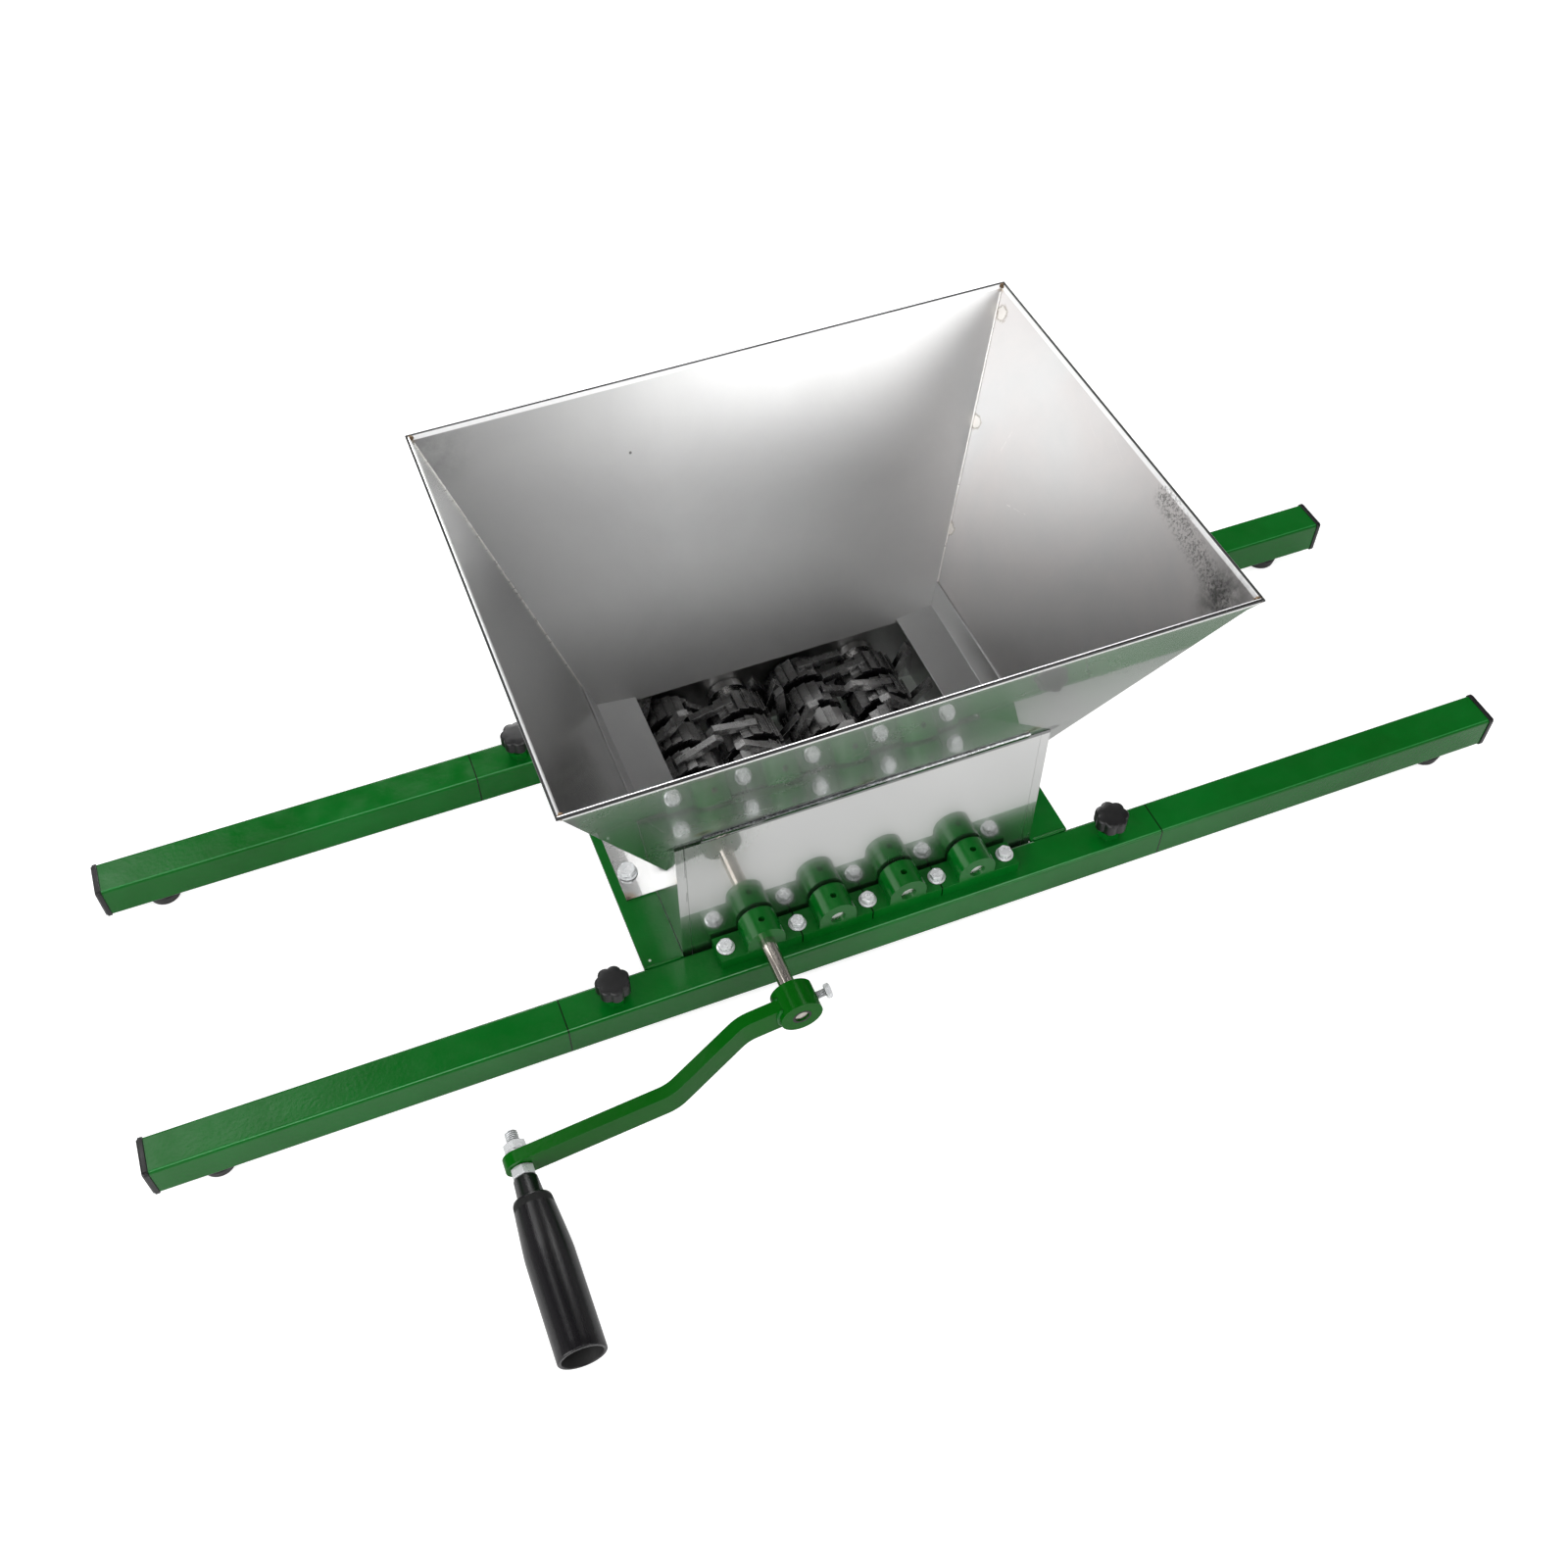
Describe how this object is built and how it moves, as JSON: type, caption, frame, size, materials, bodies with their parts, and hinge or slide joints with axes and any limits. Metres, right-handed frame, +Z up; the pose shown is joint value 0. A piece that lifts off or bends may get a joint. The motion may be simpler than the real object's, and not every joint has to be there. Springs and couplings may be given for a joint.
{
  "type": "apple scratter",
  "caption": "Hand cranked apple scratter with a sheet metal hopper over geared toothed rollers, on rails that extend to rest across a tub.",
  "frame": {"origin": "centre of the footprint box, on the surface that the feet stand on", "axes": "+X along the rails to the right, +Y from the crank to the back, +Z up"},
  "size_m": [0.916, 0.4522, 0.2843],
  "materials": {
    "green_paint": "gloss powder coat",
    "stainless": "satin mill finish",
    "zinc": "bright zinc",
    "dark_cast": "dull dark grey",
    "bright_steel": "turned",
    "black_rubber": "dull",
    "black_plastic": "satin moulded"
  },
  "bodies": {
    "frame": {"front_rail": "green_paint", "rear_rail": "green_paint", "left_cross_plate": "green_paint", "right_cross_plate": "green_paint", "chute_front_wall": "stainless", "chute_rear_wall": "stainless", "chute_left_wall": "stainless", "chute_right_wall": "stainless", "chute_mount_bolts": "zinc", "hopper_front_wall": "stainless", "hopper_rear_wall": "stainless", "hopper_left_wall": "stainless", "hopper_right_wall": "stainless", "left_guard_plate": "stainless", "right_guard_plate": "stainless", "front_bearing_1": "green_paint", "front_bearing_2": "green_paint", "front_bearing_3": "green_paint", "front_bearing_4": "green_paint", "rear_bearing_1": "green_paint", "rear_bearing_2": "green_paint", "rear_bearing_3": "green_paint", "rear_bearing_4": "green_paint", "front_bearing_bolts": "zinc", "rear_bearing_bolts": "zinc", "thrust_washers": "zinc"},
    "drive_roller": {"drive_shaft": "bright_steel", "drive_cutters": "dark_cast", "drive_gear": "bright_steel", "crank_arm": "green_paint", "crank_set_screw": "zinc", "handle_bolt": "zinc", "handle_nuts": "zinc"},
    "second_roller": {"second_shaft": "bright_steel", "second_cutters": "dark_cast", "second_gear": "bright_steel"},
    "third_roller": {"third_shaft": "bright_steel", "third_cutters": "dark_cast", "third_gear": "bright_steel"},
    "fourth_roller": {"fourth_shaft": "bright_steel", "fourth_cutters": "dark_cast", "fourth_gear": "bright_steel"},
    "grip": {"handle_grip": "black_plastic"},
    "front_left_slide": {"front_left_extension": "green_paint", "front_left_end_cap": "black_plastic", "front_left_foot": "black_rubber"},
    "front_right_slide": {"front_right_extension": "green_paint", "front_right_end_cap": "black_plastic", "front_right_foot": "black_rubber"},
    "rear_left_slide": {"rear_left_extension": "green_paint", "rear_left_end_cap": "black_plastic", "rear_left_foot": "black_rubber"},
    "rear_right_slide": {"rear_right_extension": "green_paint", "rear_right_end_cap": "black_plastic", "rear_right_foot": "black_rubber"},
    "front_left_clamp": {"front_left_knob": "black_plastic"},
    "front_right_clamp": {"front_right_knob": "black_plastic"},
    "rear_left_clamp": {"rear_left_knob": "black_plastic"},
    "rear_right_clamp": {"rear_right_knob": "black_plastic"}
  },
  "joints": [
    {"name": "crank_turn", "type": "hinge", "parent": "frame", "child": "drive_roller", "pos_m": [-0.07125, -0.04115, 0.05], "axis": [0, 1, 0], "continuous": true},
    {"name": "second_roller_turn", "type": "hinge", "parent": "frame", "child": "second_roller", "pos_m": [-0.02375, -0.04115, 0.05], "axis": [0, 1, 0], "continuous": true},
    {"name": "third_roller_turn", "type": "hinge", "parent": "frame", "child": "third_roller", "pos_m": [0.02375, -0.04115, 0.05], "axis": [0, 1, 0], "continuous": true},
    {"name": "fourth_roller_turn", "type": "hinge", "parent": "frame", "child": "fourth_roller", "pos_m": [0.07125, -0.04115, 0.05], "axis": [0, 1, 0], "continuous": true},
    {"name": "grip_spin", "type": "hinge", "parent": "drive_roller", "child": "grip", "pos_m": [-0.25316, -0.17115, 0.02233], "axis": [0, 1, 0], "continuous": true},
    {"name": "front_left_slide_out", "type": "slide", "parent": "frame", "child": "front_left_slide", "axis": [-1, 0, 0], "range_m": [0, 0.06]},
    {"name": "front_right_slide_out", "type": "slide", "parent": "frame", "child": "front_right_slide", "axis": [1, 0, 0], "range_m": [0, 0.06]},
    {"name": "rear_left_slide_out", "type": "slide", "parent": "frame", "child": "rear_left_slide", "axis": [-1, 0, 0], "range_m": [0, 0.06]},
    {"name": "rear_right_slide_out", "type": "slide", "parent": "frame", "child": "rear_right_slide", "axis": [1, 0, 0], "range_m": [0, 0.06]},
    {"name": "front_left_clamp_turn", "type": "hinge", "parent": "frame", "child": "front_left_clamp", "pos_m": [-0.1689, -0.02865, 0.045], "axis": [0, 0, 1], "range_deg": [0, 720]},
    {"name": "front_right_clamp_turn", "type": "hinge", "parent": "frame", "child": "front_right_clamp", "pos_m": [0.1689, -0.02865, 0.045], "axis": [0, 0, 1], "range_deg": [0, 720]},
    {"name": "rear_left_clamp_turn", "type": "hinge", "parent": "frame", "child": "rear_left_clamp", "pos_m": [-0.1689, 0.17985, 0.045], "axis": [0, 0, 1], "range_deg": [0, 720]},
    {"name": "rear_right_clamp_turn", "type": "hinge", "parent": "frame", "child": "rear_right_clamp", "pos_m": [0.1689, 0.17985, 0.045], "axis": [0, 0, 1], "range_deg": [0, 720]}
  ],
  "couplings": [
    {"joint": "second_roller_turn", "follows": "crank_turn", "ratio": -1},
    {"joint": "third_roller_turn", "follows": "crank_turn", "ratio": 1},
    {"joint": "fourth_roller_turn", "follows": "crank_turn", "ratio": -1}
  ]
}
